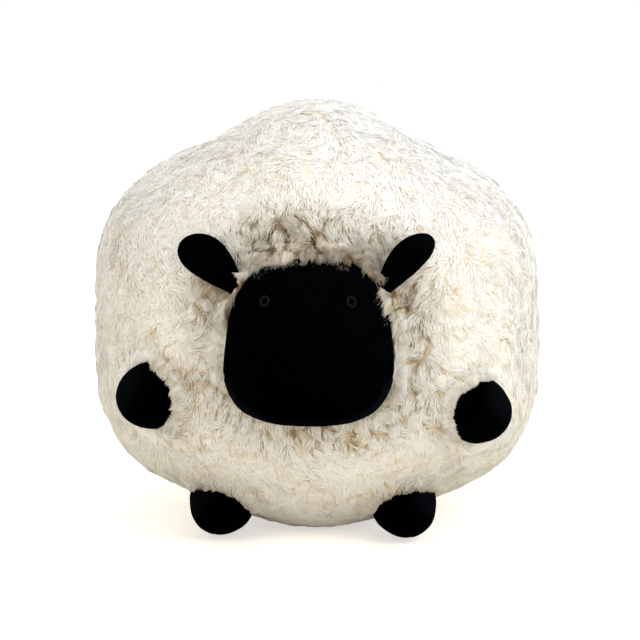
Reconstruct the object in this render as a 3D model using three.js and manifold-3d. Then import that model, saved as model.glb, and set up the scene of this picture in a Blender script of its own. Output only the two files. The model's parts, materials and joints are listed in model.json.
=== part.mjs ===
// Sheep cushion: a stuffed ball of six pile-fabric gores with a black velvet head, ears, arms and feet.
// Millimetres, +Z up. The sheep faces -Y, and left in a name is the viewer's left, at -X.
// The origin is on the floor, at the middle of the flat patch that the body rests on.
import * as THREE from 'three';
import { mergeVertices } from 'three/addons/utils/BufferGeometryUtils.js';
import Module from 'manifold-3d';

const DEG = Math.PI / 180;

// Clearances
const SEAT_GAP = 0.4; // between pieces that are sewn or stuffed against each other
const LIMB_SWING_GAP = 0.8; // round a limb's ball root, so that its facets turn freely
const EAR_SWING_GAP = 0.6; // round an ear's rolled root

// Body outline seen from the front: a rounded hexagon with a corner on top
const BODY_RADIUS = 218.6; // mean radius
const BODY_OVAL = 10.2; // wider than tall by twice this
const BODY_OVAL_LEAN = -4.5; // degrees that the oval lies aslant
const BODY_SQUARENESS = 1.2;
const SEAM_RIDGE = 7.1; // how far the seams stand out as corners
const BODY_SHOULDER_DROP = 2.7; // shoulders drawn in, lower corners pushed out
const BODY_PEAK = 1.0;

// Body seen from the side
const BODY_HALF_DEPTH = 200;
const BODY_BOXINESS = 2.3; // 2 is an ellipse, more is squarer
const SETTLE_DEPTH = 10.2; // how far the weight presses the bottom up
const SETTLE_SOFTNESS = 6;
const REST_CUT = 0.5; // depth of the flat patch on the floor

// Fleece: fabric backing and pile together
const FLEECE_THICKNESS = 15;
const GORE_TIP_RADIUS = 3; // where the gores meet at the back
const GORE_FRONT_ANGLE = 0.24; // radians from the front pole, under the head
const GORE_COLUMNS = 6;
const GORE_ROWS = 14;
const ROW_CROWDING = 0.45; // 0 spaces the rows evenly, more crowds them towards the head
const GORES = [
  // name, and the angle in degrees of its first seam; its second seam is the next one's first
  { name: 'fleece_top_right', seam: 30 },
  { name: 'fleece_top_left', seam: 90 },
  { name: 'fleece_side_left', seam: 150 },
  { name: 'fleece_bottom_left', seam: 207 },
  { name: 'fleece_bottom_right', seam: 274 },
  { name: 'fleece_side_right', seam: 333 },
];

// The fleece is drawn in round the head
const DRAW_IN_DEPTH = 18;
const DRAW_IN_WIDTH = 42;
const DRAW_IN_FADE = 3; // fades out over the last third before the body's widest section

// Head: a padded muzzle, a rounded trapezoid from the front
const HEAD_HALF_WIDTH = 76.4;
const HEAD_HALF_HEIGHT = 75;
const HEAD_TAPER = 0.11; // wider at the bottom, narrower at the top
const HEAD_SQUARENESS = 2.75;
const HEAD_RISE = 8; // its middle above the body's middle
const HEAD_RIM_PROUD = 5; // how far its widest girth stands before the body's front pole
const HEAD_TILT = 18; // chin forward and brow back by this much
const HEAD_DOME = 25; // from the widest girth to the middle of the face
const HEAD_DOME_SQUARENESS = 2.5;
const HEAD_ROOT_DEPTH = 110; // how far the uncut solid reaches back from its girth
const VELVET_THICKNESS = 2.5;
const HEAD_COLUMNS = 28;
const HEAD_RING_FRACTIONS = [0.985, 0.95, 0.87, 0.7, 0.4];
const CHIN_SEAM_FRACTION = 0.935; // of the outline, where the face panel meets the chin panel
const CHIN_SEAM_TOP = -28; // the chin seam runs into the fleece this far from the head's middle
const CHIN_SEAM_STEPS = 24;
const CHIN_SEAM_END_STEP = 1; // shortest straight piece where the seam ends

// Eyes: an oval ring of satin stitch each
const EYE_SPACING = 79;
const EYE_RISE = 38.5; // above the head's middle
const EYE_HALF_WIDTH = 3.4;
const EYE_HALF_HEIGHT = 4.4;
const EYE_THREAD_RADIUS = 1.1;
const EYE_LEAN = 18; // degrees, tops towards each other
const EYE_PROUD = 0.6; // the thread's middle before the face
const EYE_GROOVE_GAP = 0.3;
const EYE_RING_STEPS = 11;
const EYE_THREAD_STEPS = 5;

// Ears: two velvet layers each, sewn together round the edge
const EAR_LENGTH = 64; // from the hinge line to the tip
const EAR_HALF_WIDTH = 19.5;
const EAR_ROOT_HALF_WIDTH = 9;
const EAR_WIDEST = 0.62; // share of the length
const EAR_BOW = 3; // how far the leaf bows up from the line through its root and tip
const EAR_HALF_THICKNESS = 6.5;
const EAR_ROOT_RADIUS = 5.2; // rolled root
const EAR_ROOT_STEPS = 16;
const EAR_RIM_THICKNESS = 1.4;
const EAR_CROWN = 0.8; // 1 is a sine, less is flatter in the middle
const EAR_LAYER_GAP = 0.3;
const EAR_LAST_ROW = 0.985; // share of the length that the last row of points is at
const EAR_ROWS = 8;
const EAR_COLUMNS = 6;
const EAR_OUTSET = 6.0; // hinge line outside the head's outline
const EAR_FLEECE_GAP = 2.5; // between the lying ear and the fleece behind it
const EARS = [
  // side, place round the head, rise of the tip, forward lean and twist about its length, in degrees
  { name: 'ear_left', side: -1, around: 35, rise: 40, forward: 2, twist: 0 },
  { name: 'ear_right', side: 1, around: 35, rise: 49, forward: 6, twist: 40 },
];

// Arms and feet: stubby stuffed paws, a ball at the root and a slightly longer tip
const PAW_RADIUS = 32;
const PAW_LENGTH = 37; // from the middle of the ball to the tip
const PAW_TIP_ANGLE = 60; // degrees from the tip where the ball begins
const PAW_TIP_BLEND = 1.3; // how softly the tip runs into the ball
const PAW_OPENING_RADIUS = 13; // where the cover is sewn to the body
const PAW_COLUMNS = 14;
const PAW_RINGS = 8;
const SEAT_COLUMNS = 20;
const SEAT_RINGS = 10;
const ARMS = [
  // place round the body, distance out as a share of the outline, and the way that the tip points
  { name: 'arm_left', around: 199.1, out: 0.693, tip: [-0.76, -0.64, -0.08] },
  { name: 'arm_right', around: -22.5, out: 0.72, tip: [0.72, -0.66, -0.22] },
];
const FOOT_SPREAD = 175; // between the two feet's middles
const FOOT_FORWARD = 8; // before the fleece's surface
const FOOT_FLOOR_GAP = 1.5; // the body carries the weight, the feet just clear the floor
const FOOT_TIP = [0.35, -0.62, -0.62]; // the way that the right foot's tip points
const FEET = [
  { name: 'foot_left', side: -1 },
  { name: 'foot_right', side: 1 },
];

const FLEECE = { color: 0xe9e2d3, roughness: 0.95, metalness: 0 };
const VELVET = { color: 0x08090b, roughness: 0.85, metalness: 0 };
const THREAD = { color: 0x17181b, roughness: 0.5, metalness: 0 };
const FILLING = { color: 0xf4f3ef, roughness: 1, metalness: 0 };

const wasm = await Module();
wasm.setup();

// Solids and meshes

function toSolid(geometry) {
  const bare = geometry.clone();
  bare.deleteAttribute('normal');
  bare.deleteAttribute('uv');
  const merged = mergeVertices(bare, 1e-4);
  return new wasm.Manifold(new wasm.Mesh({
    numProp: 3,
    vertProperties: new Float32Array(merged.attributes.position.array),
    triVerts: new Uint32Array(merged.index.array),
  }));
}

function toGeometry(solid) {
  const mesh = solid.getMesh();
  const geometry = new THREE.BufferGeometry();
  geometry.setAttribute('position', new THREE.BufferAttribute(new Float32Array(mesh.vertProperties), 3));
  geometry.setIndex(new THREE.BufferAttribute(new Uint32Array(mesh.triVerts), 1));
  geometry.computeVertexNormals();
  return geometry;
}

// A closed geometry from points and triangles, each a list of three indices
function faceted(points, triangles) {
  const geometry = new THREE.BufferGeometry();
  geometry.setAttribute('position', new THREE.Float32BufferAttribute(points.flatMap((p) => p.toArray()), 3));
  geometry.setIndex(triangles.flat());
  return geometry;
}

// A closed slab between two grids of points, outer[row][column] and inner[row][column]
function slab(outer, inner) {
  const rows = outer.length;
  const columns = outer[0].length;
  const points = [...outer.flat(), ...inner.flat()];
  const top = (r, c) => r * columns + c;
  const low = (r, c) => rows * columns + r * columns + c;
  const triangles = [];
  const quad = (a, b, c, d) => triangles.push([a, b, c], [a, c, d]);
  for (let r = 0; r < rows - 1; r += 1) {
    for (let c = 0; c < columns - 1; c += 1) {
      quad(top(r, c), top(r + 1, c), top(r + 1, c + 1), top(r, c + 1));
      quad(low(r, c), low(r, c + 1), low(r + 1, c + 1), low(r + 1, c));
    }
    quad(top(r, 0), low(r, 0), low(r + 1, 0), top(r + 1, 0));
    quad(top(r + 1, columns - 1), low(r + 1, columns - 1), low(r, columns - 1), top(r, columns - 1));
  }
  for (let c = 0; c < columns - 1; c += 1) {
    quad(top(0, c + 1), low(0, c + 1), low(0, c), top(0, c));
    quad(top(rows - 1, c), low(rows - 1, c), low(rows - 1, c + 1), top(rows - 1, c + 1));
  }
  return faceted(points, triangles);
}

// A closed body from rings of points, with a pole at each end
function ringed(firstPole, rings, lastPole) {
  const columns = rings[0].length;
  const points = [firstPole, ...rings.flat(), lastPole];
  const last = points.length - 1;
  const at = (r, c) => 1 + r * columns + (c % columns);
  const triangles = [];
  for (let c = 0; c < columns; c += 1) {
    triangles.push([0, at(0, c), at(0, c + 1)]);
    triangles.push([last, at(rings.length - 1, c + 1), at(rings.length - 1, c)]);
    for (let r = 0; r < rings.length - 1; r += 1) {
      triangles.push([at(r, c), at(r + 1, c), at(r + 1, c + 1)]);
      triangles.push([at(r, c), at(r + 1, c + 1), at(r, c + 1)]);
    }
  }
  return faceted(points, triangles);
}

// Turns a closed geometry inside out where its faces point in
function outward(geometry) {
  const solid = toSolid(geometry);
  if (solid.volume() > 0) {
    return solid;
  }
  const flipped = geometry.clone();
  const index = flipped.index.array;
  for (let i = 0; i < index.length; i += 3) {
    [index[i + 1], index[i + 2]] = [index[i + 2], index[i + 1]];
  }
  return toSolid(flipped);
}

// Body

function outlineRadius(theta) {
  return BODY_RADIUS
    + BODY_OVAL * Math.cos(2 * (theta - BODY_OVAL_LEAN * DEG))
    - BODY_SQUARENESS * Math.cos(4 * theta)
    - SEAM_RIDGE * Math.cos(6 * theta)
    - BODY_SHOULDER_DROP * Math.sin(3 * theta)
    + BODY_PEAK * Math.sin(5 * theta);
}

const SETTLE_LEVEL = SETTLE_DEPTH - outlineRadius(-90 * DEG);

// Presses the bottom up towards a level, softly
function settle(z, inset) {
  const level = SETTLE_LEVEL + inset;
  return level + SETTLE_SOFTNESS * Math.log1p(Math.exp((z - level) / SETTLE_SOFTNESS));
}

const BODY_MIDDLE = -settle(-outlineRadius(-90 * DEG), 0) - REST_CUT; // height above the floor
const HEAD_MIDDLE = BODY_MIDDLE + HEAD_RISE;

// Radius of the head's outline from its middle, in the direction of x and z
function headReach(x, z) {
  const direction = Math.hypot(x, z) || 1;
  let low = 0;
  let high = 3 * HEAD_HALF_WIDTH;
  for (let i = 0; i < 30; i += 1) {
    const middle = (low + high) / 2;
    const across = HEAD_HALF_WIDTH * (1 - HEAD_TAPER * middle * z / direction / HEAD_HALF_HEIGHT);
    const filled = Math.abs(middle * x / direction / across) ** HEAD_SQUARENESS
      + Math.abs(middle * z / direction / HEAD_HALF_HEIGHT) ** HEAD_SQUARENESS;
    if (filled < 1) {
      low = middle;
    } else {
      high = middle;
    }
  }
  return low;
}

// How far the front of the fleece is drawn in at a place
function drawIn(x, z) {
  const outside = Math.hypot(x, z - HEAD_MIDDLE) - headReach(x, z - HEAD_MIDDLE);
  return DRAW_IN_DEPTH * Math.exp(-((Math.max(outside, 0) / DRAW_IN_WIDTH) ** 2));
}

// A point of the body: theta round the front-to-back axis, phi from the front pole, inset from the surface
function bodyPoint(theta, phi, inset) {
  const sine = Math.sin(phi);
  const cosine = Math.cos(phi);
  const size = (Math.abs(sine) ** BODY_BOXINESS + Math.abs(cosine) ** BODY_BOXINESS) ** (-1 / BODY_BOXINESS);
  const across = (outlineRadius(theta) - inset) * sine * size;
  const x = across * Math.cos(theta);
  const z = BODY_MIDDLE + settle(across * Math.sin(theta), inset);
  const y = -(BODY_HALF_DEPTH - inset) * cosine * size;
  return new THREE.Vector3(x, cosine > 0 ? y + drawIn(x, z) * Math.min(1, DRAW_IN_FADE * cosine) : y, z);
}

// The front surface at a share of the outline's radius, and the outward direction there
function frontPlace(theta, out) {
  const phi = Math.atan2(out, (1 - out ** BODY_BOXINESS) ** (1 / BODY_BOXINESS));
  return bodyPoint(theta, phi, 0);
}

function frontPlaceAt(x, z) {
  const theta = Math.atan2(z - BODY_MIDDLE, x);
  return frontPlace(theta, Math.hypot(x, z - BODY_MIDDLE) / outlineRadius(theta));
}

function goreRowAngle(row) {
  const back = Math.PI - Math.asin(GORE_TIP_RADIUS / BODY_RADIUS);
  const share = row / GORE_ROWS;
  return GORE_FRONT_ANGLE + (back - GORE_FRONT_ANGLE) * share * (1 - ROW_CROWDING * (1 - share));
}

// The angles of a gore's two seams, in degrees
function goreSeams(index) {
  const next = (index + 1) % GORES.length;
  return { from: GORES[index].seam, to: GORES[next].seam + (next === 0 ? 360 : 0) };
}

function goreGrid({ from, to }, inset) {
  const grid = [];
  for (let r = 0; r <= GORE_ROWS; r += 1) {
    const phi = goreRowAngle(r);
    const line = [];
    for (let c = 0; c <= GORE_COLUMNS; c += 1) {
      const theta = (from + (to - from) * c / GORE_COLUMNS) * DEG;
      const point = bodyPoint(theta, phi, inset);
      const shift = (c === 0 ? 1 : c === GORE_COLUMNS ? -1 : 0) * SEAT_GAP / 2;
      point.x -= shift * Math.sin(theta);
      point.z += shift * Math.cos(theta);
      line.push(point);
    }
    grid.push(line);
  }
  return grid;
}

// The stuffed inside of the body, at a depth under the surface
function bodyCore(inset) {
  const rings = [];
  for (let r = 0; r <= GORE_ROWS; r += 1) {
    const ring = [];
    for (let g = 0; g < GORES.length; g += 1) {
      const { from, to } = goreSeams(g);
      for (let c = 0; c < GORE_COLUMNS; c += 1) {
        ring.push(bodyPoint((from + (to - from) * c / GORE_COLUMNS) * DEG, goreRowAngle(r), inset));
      }
    }
    rings.push(ring);
  }
  return outward(ringed(bodyPoint(0, 0, inset), rings, bodyPoint(0, Math.PI, inset)));
}

// Head

// A point of the head: angle round it, share of the outline, and how much bigger than the real head
function headPoint(angle, share, grow) {
  const cosine = Math.cos(angle);
  const sine = Math.sin(angle);
  const power = 2 / HEAD_SQUARENESS;
  const z = (HEAD_HALF_HEIGHT + grow) * share * Math.sign(sine) * Math.abs(sine) ** power;
  const taper = 1 - HEAD_TAPER * z / HEAD_HALF_HEIGHT;
  const x = (HEAD_HALF_WIDTH + grow) * taper * share * Math.sign(cosine) * Math.abs(cosine) ** power;
  const girth = BODY_HALF_DEPTH + HEAD_RIM_PROUD - HEAD_TILT * z / HEAD_HALF_HEIGHT;
  const dome = (HEAD_DOME + grow) * (1 - share ** HEAD_DOME_SQUARENESS) ** (1 / HEAD_DOME_SQUARENESS);
  return new THREE.Vector3(x, -girth - dome, HEAD_MIDDLE + z);
}

function headSolid(grow) {
  const backward = new THREE.Vector3(0, HEAD_ROOT_DEPTH, 0);
  const ringAt = (share, shift) => {
    const ring = [];
    for (let c = 0; c < HEAD_COLUMNS; c += 1) {
      const angle = (c + 0.5) / HEAD_COLUMNS * 360 * DEG;
      ring.push(headPoint(angle, share, grow).addScaledVector(backward, shift));
    }
    return ring;
  };
  const rings = [ringAt(1, 1), ringAt(1, 0.5), ringAt(1, 0)];
  for (const share of HEAD_RING_FRACTIONS) {
    rings.push(ringAt(share, 0));
  }
  const back = headPoint(0, 0, grow).addScaledVector(backward, 1);
  return outward(ringed(back, rings, headPoint(0, 0, grow)));
}

// The space below and outside the chin seam, as a prism from front to back
function chinSpace(seamShare, top) {
  const edge = 2 * HEAD_HALF_WIDTH;
  const end = seamHalfWidth(seamShare, top);
  const outline = [[-end, top], [-edge, top], [-edge, -edge], [edge, -edge], [edge, top], [end, top]];
  for (let i = 1; i < CHIN_SEAM_STEPS; i += 1) {
    const point = headPoint(-i / CHIN_SEAM_STEPS * 180 * DEG, seamShare, 0);
    if (point.z - HEAD_MIDDLE < top - CHIN_SEAM_END_STEP) {
      outline.push([point.x, point.z - HEAD_MIDDLE]);
    }
  }
  const shape = new THREE.Shape(outline.map(([x, z]) => new THREE.Vector2(x, z)));
  const prism = new THREE.ExtrudeGeometry(shape, { depth: 2 * BODY_HALF_DEPTH, bevelEnabled: false });
  prism.rotateX(90 * DEG);
  prism.translate(0, 0, HEAD_MIDDLE);
  return outward(prism);
}

// Half the width between the two sides of the chin seam at a height
function seamHalfWidth(seamShare, height) {
  let low = 0;
  let high = 90 * DEG;
  for (let i = 0; i < 30; i += 1) {
    const middle = (low + high) / 2;
    if (headPoint(-middle, seamShare, 0).z - HEAD_MIDDLE > height) {
      low = middle;
    } else {
      high = middle;
    }
  }
  return headPoint(-low, seamShare, 0).x;
}

// Point of the face at x and z from the head's middle, and the outward direction there
function facePlace(x, z) {
  const at = (px, pz) => {
    const share = Math.hypot(px, pz) / headReach(px, pz);
    const girth = BODY_HALF_DEPTH + HEAD_RIM_PROUD - HEAD_TILT * pz / HEAD_HALF_HEIGHT;
    const dome = HEAD_DOME * (1 - share ** HEAD_DOME_SQUARENESS) ** (1 / HEAD_DOME_SQUARENESS);
    return new THREE.Vector3(px, -girth - dome, HEAD_MIDDLE + pz);
  };
  const along = at(x + 1, z).sub(at(x - 1, z));
  const up = at(x, z + 1).sub(at(x, z - 1));
  return { point: at(x, z), normal: up.cross(along).normalize().multiplyScalar(-1) };
}

// An oval ring of thread, lying on the face
function eyeRing(side, threadRadius) {
  const { point, normal } = facePlace(side * EYE_SPACING / 2, EYE_RISE);
  const thread = threadRadius / EYE_HALF_WIDTH;
  const ring = new THREE.TorusGeometry(1, thread, EYE_THREAD_STEPS, EYE_RING_STEPS);
  const positions = ring.attributes.position;
  for (let i = 0; i < positions.count; i += 1) {
    const angle = Math.atan2(positions.getY(i), positions.getX(i));
    const out = (Math.hypot(positions.getX(i), positions.getY(i)) - 1) * EYE_HALF_WIDTH;
    const x = (EYE_HALF_WIDTH + out) * Math.cos(angle);
    const y = (EYE_HALF_HEIGHT + out) * Math.sin(angle);
    positions.setXYZ(i, x, y, positions.getZ(i) * EYE_HALF_WIDTH);
  }
  ring.rotateZ(side * EYE_LEAN * DEG);
  const facing = new THREE.Matrix4().lookAt(normal, new THREE.Vector3(), new THREE.Vector3(0, 0, 1));
  ring.applyMatrix4(facing.setPosition(point.addScaledVector(normal, EYE_PROUD)));
  return outward(ring);
}

// Ears

// Half the width of the leaf at a share of its length
function earHalfWidth(share) {
  if (share > EAR_WIDEST) {
    return EAR_HALF_WIDTH * Math.sqrt(1 - ((share - EAR_WIDEST) / (1 - EAR_WIDEST)) ** 2);
  }
  const grown = Math.max(0, share) / EAR_WIDEST;
  return EAR_ROOT_HALF_WIDTH + (EAR_HALF_WIDTH - EAR_ROOT_HALF_WIDTH) * Math.sin(grown * 90 * DEG);
}

// Half the thickness in the middle of the leaf, at a distance from the hinge line
function earHalfThickness(along) {
  if (along < 0) {
    return Math.sqrt(EAR_ROOT_RADIUS ** 2 - along ** 2);
  }
  const share = along / EAR_LENGTH;
  const swell = EAR_ROOT_RADIUS + (EAR_HALF_THICKNESS - EAR_ROOT_RADIUS) * Math.sin(share * Math.PI);
  return swell * Math.sqrt(1 - share ** 3);
}

// One layer of an ear: its length along X, its width along Y, its outer side up
function earLayer(side) {
  const outer = [];
  const inner = [];
  for (let r = 0; r <= EAR_ROWS; r += 1) {
    const eased = Math.sin(r / EAR_ROWS * 90 * DEG);
    const along = -EAR_ROOT_RADIUS + (EAR_LENGTH * EAR_LAST_ROW + EAR_ROOT_RADIUS) * eased;
    const half = earHalfWidth(along / EAR_LENGTH);
    const bow = side * EAR_BOW * Math.sin(Math.max(0, along / EAR_LENGTH) * Math.PI);
    const height = Math.max(0, earHalfThickness(along) - EAR_RIM_THICKNESS);
    const outerLine = [];
    const innerLine = [];
    for (let c = 0; c <= EAR_COLUMNS; c += 1) {
      const turn = (c / EAR_COLUMNS - 0.5) * Math.PI;
      const across = bow + half * Math.sin(turn);
      const lift = EAR_RIM_THICKNESS + height * Math.max(0, Math.cos(turn)) ** EAR_CROWN;
      outerLine.push(new THREE.Vector3(along, across, lift));
      innerLine.push(new THREE.Vector3(along, across, EAR_LAYER_GAP / 2));
    }
    outer.push(outerLine);
    inner.push(innerLine);
  }
  return slab(outer, inner);
}

// Where an ear's hinge line is, and which way the ear lies
function earPlace({ side, around, rise, forward, twist }) {
  const length = new THREE.Vector3(
    side * Math.cos(rise * DEG) * Math.cos(forward * DEG),
    -Math.sin(forward * DEG),
    Math.sin(rise * DEG) * Math.cos(forward * DEG),
  );
  const front = new THREE.Vector3(0, -1, 0).addScaledVector(length, length.y).normalize();
  front.applyAxisAngle(length, side * twist * DEG);
  const width = new THREE.Vector3().crossVectors(front, length);
  const direction = new THREE.Vector2(side * Math.cos(around * DEG), Math.sin(around * DEG));
  const reach = headReach(direction.x, direction.y) + EAR_OUTSET;
  const hinge = frontPlaceAt(direction.x * reach, HEAD_MIDDLE + direction.y * reach);
  hinge.y -= EAR_HALF_THICKNESS * Math.abs(front.y) + EAR_ROOT_HALF_WIDTH * Math.abs(width.y);
  hinge.y -= EAR_FLEECE_GAP;
  return new THREE.Matrix4().makeBasis(length, width, front).setPosition(hinge);
}

function earRoot(place) {
  const rolled = new THREE.CylinderGeometry(
    EAR_ROOT_RADIUS + EAR_SWING_GAP,
    EAR_ROOT_RADIUS + EAR_SWING_GAP,
    2 * (EAR_ROOT_HALF_WIDTH + EAR_SWING_GAP),
    EAR_ROOT_STEPS,
  );
  rolled.applyMatrix4(place);
  return outward(rolled);
}

// Arms and feet

// Distance from the ball's middle to the surface at an angle from the tip
function pawReach(angle, inset) {
  const share = Math.min(1, angle / (PAW_TIP_ANGLE * DEG));
  const swell = Math.max(0, Math.cos(share * 90 * DEG)) ** PAW_TIP_BLEND;
  return PAW_RADIUS - inset + (PAW_LENGTH - PAW_RADIUS) * swell;
}

// The angles from the tip of the rings of points, down to the edge of the opening
function pawAngles() {
  const open = Math.PI - Math.asin(PAW_OPENING_RADIUS / PAW_RADIUS);
  return Array.from({ length: PAW_RINGS + 1 }, (_, i) => open * i / PAW_RINGS);
}

function pawProfile(angles, inset) {
  return angles.map((angle) => {
    const reach = pawReach(angle, inset);
    const onAxis = angle === 0 || angle === Math.PI;
    return new THREE.Vector2(onAxis ? 0 : reach * Math.sin(angle), reach * Math.cos(angle));
  });
}

function pawCover() {
  const inside = pawProfile(pawAngles(), VELVET_THICKNESS);
  const outside = pawProfile(pawAngles().reverse(), 0);
  return [...inside, ...outside];
}

function pawFilling() {
  return pawProfile([...pawAngles(), Math.PI], VELVET_THICKNESS + SEAT_GAP);
}

function turned(profile) {
  return outward(new THREE.LatheGeometry(profile, PAW_COLUMNS));
}

// The ball's middle, with Y towards the tip and X along the level hinge line
function pawPlace(middle, tip) {
  const hinge = new THREE.Vector3().crossVectors(tip, new THREE.Vector3(0, 0, 1)).normalize();
  const third = new THREE.Vector3().crossVectors(hinge, tip);
  return new THREE.Matrix4().makeBasis(hinge, tip, third).setPosition(middle);
}

function pawSeat(middle) {
  const ball = new THREE.SphereGeometry(PAW_RADIUS + LIMB_SWING_GAP, SEAT_COLUMNS, SEAT_RINGS);
  ball.translate(middle.x, middle.y, middle.z);
  return outward(ball);
}

function armLayout({ name, around, out, tip }) {
  return { name, middle: frontPlace(around * DEG, out), tip: new THREE.Vector3(...tip).normalize() };
}

function footLayout({ name, side }) {
  const tip = new THREE.Vector3(side * FOOT_TIP[0], FOOT_TIP[1], FOOT_TIP[2]).normalize();
  const drop = Math.hypot(PAW_LENGTH * tip.z, PAW_RADIUS * Math.sqrt(1 - tip.z ** 2));
  const middle = frontPlaceAt(side * FOOT_SPREAD / 2, drop + FOOT_FLOOR_GAP);
  middle.y -= FOOT_FORWARD;
  return { name, middle, tip };
}

// Assembly

const sheep = new THREE.Group();

function addPiece(parent, name, solid, finish) {
  const piece = new THREE.Mesh(toGeometry(solid), new THREE.MeshStandardMaterial(finish));
  piece.name = name;
  parent.add(piece);
}

// A group that turns about its own origin, for the pieces that move together
function addPivot(name, place) {
  const pivot = new THREE.Group();
  pivot.name = name;
  pivot.applyMatrix4(place);
  sheep.add(pivot);
  return pivot;
}

function cutAll(solid, cutters) {
  return cutters.reduce((left, cutter) => left.subtract(cutter), solid);
}

const paws = [...ARMS.map(armLayout), ...FEET.map(footLayout)];
const ears = EARS.map((ear) => ({ name: ear.name, side: ear.side, place: earPlace(ear) }));
const pawSeats = paws.map(({ middle }) => pawSeat(middle));
const earSeats = ears.map(({ place }) => earRoot(place));

function addBody() {
  const below = new THREE.BoxGeometry(3 * BODY_RADIUS, 3 * BODY_HALF_DEPTH, BODY_RADIUS);
  below.translate(0, 0, -BODY_RADIUS / 2);
  const cutters = [headSolid(SEAT_GAP), outward(below), ...pawSeats, ...earSeats];
  GORES.forEach(({ name }, g) => {
    const shell = outward(slab(goreGrid(goreSeams(g), 0), goreGrid(goreSeams(g), FLEECE_THICKNESS)));
    addPiece(sheep, name, cutAll(shell, cutters), FLEECE);
  });
  addPiece(sheep, 'body_filling', cutAll(bodyCore(FLEECE_THICKNESS + SEAT_GAP), pawSeats), FILLING);
}

function addHead() {
  const body = bodyCore(FLEECE_THICKNESS);
  const cover = cutAll(headSolid(0), [headSolid(-VELVET_THICKNESS), body, ...earSeats]);
  const grooves = [-1, 1].map((side) => eyeRing(side, EYE_THREAD_RADIUS + EYE_GROOVE_GAP));
  const chinShare = CHIN_SEAM_FRACTION + SEAT_GAP / HEAD_HALF_WIDTH;
  const face = cover.subtract(chinSpace(CHIN_SEAM_FRACTION, CHIN_SEAM_TOP + SEAT_GAP));
  addPiece(sheep, 'head_face_panel', cutAll(face, grooves), VELVET);
  addPiece(sheep, 'head_chin_panel', cover.intersect(chinSpace(chinShare, CHIN_SEAM_TOP)), VELVET);
  addPiece(sheep, 'head_filling', headSolid(-VELVET_THICKNESS - SEAT_GAP).subtract(body), FILLING);
  addPiece(sheep, 'eye_left_stitching', eyeRing(-1, EYE_THREAD_RADIUS), THREAD);
  addPiece(sheep, 'eye_right_stitching', eyeRing(1, EYE_THREAD_RADIUS), THREAD);
}

addBody();
addHead();

for (const { name, side, place } of ears) {
  const pivot = addPivot(name, place);
  addPiece(pivot, `${name}_front_layer`, outward(earLayer(side)), VELVET);
  addPiece(pivot, `${name}_back_layer`, outward(earLayer(side).scale(1, 1, -1)), VELVET);
}

for (const { name, middle, tip } of paws) {
  const pivot = addPivot(name, pawPlace(middle, tip));
  addPiece(pivot, `${name}_cover`, turned(pawCover()), VELVET);
  addPiece(pivot, `${name}_filling`, turned(pawFilling()), FILLING);
}

export default sheep;
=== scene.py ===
"""Sheep cushion: pile fleece, black velvet head, ears and paws, stitched eyes, studio light and camera."""
import json
import math

import bmesh
import bpy
import numpy as np
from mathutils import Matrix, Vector
from mathutils.kdtree import KDTree


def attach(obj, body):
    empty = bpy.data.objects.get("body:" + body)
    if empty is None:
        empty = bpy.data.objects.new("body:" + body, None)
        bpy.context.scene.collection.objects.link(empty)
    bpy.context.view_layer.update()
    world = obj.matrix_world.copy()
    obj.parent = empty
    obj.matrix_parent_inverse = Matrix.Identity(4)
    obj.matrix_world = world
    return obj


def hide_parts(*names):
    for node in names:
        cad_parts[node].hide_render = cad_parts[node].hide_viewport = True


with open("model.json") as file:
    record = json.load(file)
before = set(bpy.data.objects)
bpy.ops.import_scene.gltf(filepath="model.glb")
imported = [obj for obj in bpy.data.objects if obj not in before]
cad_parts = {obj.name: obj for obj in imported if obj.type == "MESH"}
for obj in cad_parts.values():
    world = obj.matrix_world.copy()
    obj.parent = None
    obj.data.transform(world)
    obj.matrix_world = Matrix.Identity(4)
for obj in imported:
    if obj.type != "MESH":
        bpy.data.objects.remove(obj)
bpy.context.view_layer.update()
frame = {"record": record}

RNG = np.random.default_rng(2318)
MM = 0.001
UP = np.array([0, 0, 1.0])

# Sizes, in millimetres, as in the frame
BODY_RADIUS = 218.6
BODY_OVAL, BODY_OVAL_LEAN = 10.2, 4.5  # how far it is stretched sideways, and the slant in degrees
BODY_SQUARENESS, SEAM_RIDGE, SHOULDER_DROP, BODY_PEAK = 1.2, 7.1, 2.7, 1.0
HALF_DEPTH = 200.0
BOXINESS = 2.3  # 2 is an ellipse, more is squarer
SETTLE_DEPTH, SETTLE_SOFTNESS, REST_CUT = 10.2, 6.0, 0.5  # how its weight presses the bottom flat
DRAW_IN_DEPTH, DRAW_IN_WIDTH = 18.0, 42.0  # the dip of the fleece round the head
HEAD_RAISE = 8.0  # the head's middle above the body's
HEAD_HALF_W, HEAD_HALF_H = 76.4, 75.0
HEAD_TAPER, HEAD_SQUARE = 0.11, 2.75
HEAD_TILT, HEAD_DOME, HEAD_DOME_SQUARE = 18.0, 25.0, 2.5
HEAD_GIRTH = 205.0
CHIN_SEAM = 0.935
CHIN_SEAM_TOP = -28.0
EYE_ACROSS, EYE_UP, EYE_HALF_W, EYE_HALF_H = 39.5, 38.5, 3.4, 4.4  # from the head's middle
EYE_THREAD, EYE_LEAN = 1.15, 18.0  # the thread's half width, and the oval's lean in degrees
GORE_SEAMS = [30.0, 90.0, 150.0, 207.0, 274.0, 333.0]
GORE_NAMES = [
    "fleece_top_right", "fleece_top_left", "fleece_side_left",
    "fleece_bottom_left", "fleece_bottom_right", "fleece_side_right",
]
FRONT_SIDE = -60.0  # the fleece in front of this depth lies round the head and the paws
SIDE_PIECES = 75.0  # how far the pile's side pieces reach forward and back
VELVET_THICK = 2.2

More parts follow.
